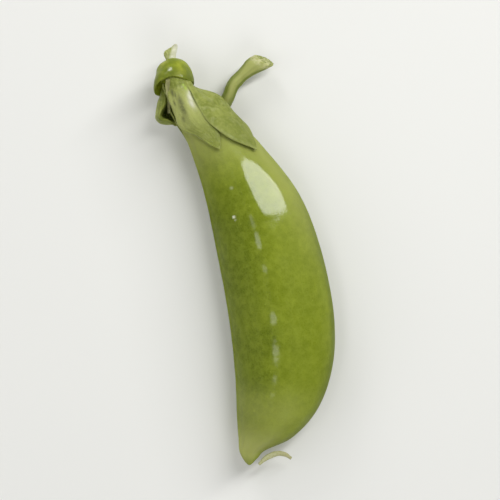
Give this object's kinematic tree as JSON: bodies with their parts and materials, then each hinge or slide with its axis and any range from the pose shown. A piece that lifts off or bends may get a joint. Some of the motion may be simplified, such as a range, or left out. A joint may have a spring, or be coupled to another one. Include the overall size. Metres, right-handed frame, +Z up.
{
  "type": "sugar snap pea pod",
  "caption": "Plump curved green pod lying on its side, with a leafy calyx, hooked stalk and dried style.",
  "frame": {"origin": "on the surface that the pod lies on, below the middle of its bounding box", "axes": "+Z up, +Y along the pod towards the stem end, +X towards the bulging edge"},
  "size_m": [0.0218, 0.0642, 0.012],
  "materials": {
    "pod_skin": "satin",
    "receptacle": "satin",
    "sepal": "matte",
    "stalk": "satin",
    "papery": "matte",
    "dried_thread": "matte"
  },
  "bodies": {
    "root": {"pod": "pod_skin", "receptacle": "receptacle", "sepal_right": "sepal", "sepal_middle": "sepal", "sepal_left": "sepal", "sepal_under_left": "sepal", "sepal_under_right": "sepal", "stalk": "stalk", "torn_bract": "papery", "stamen_sheath": "papery", "style": "dried_thread"}
  },
  "joints": []
}
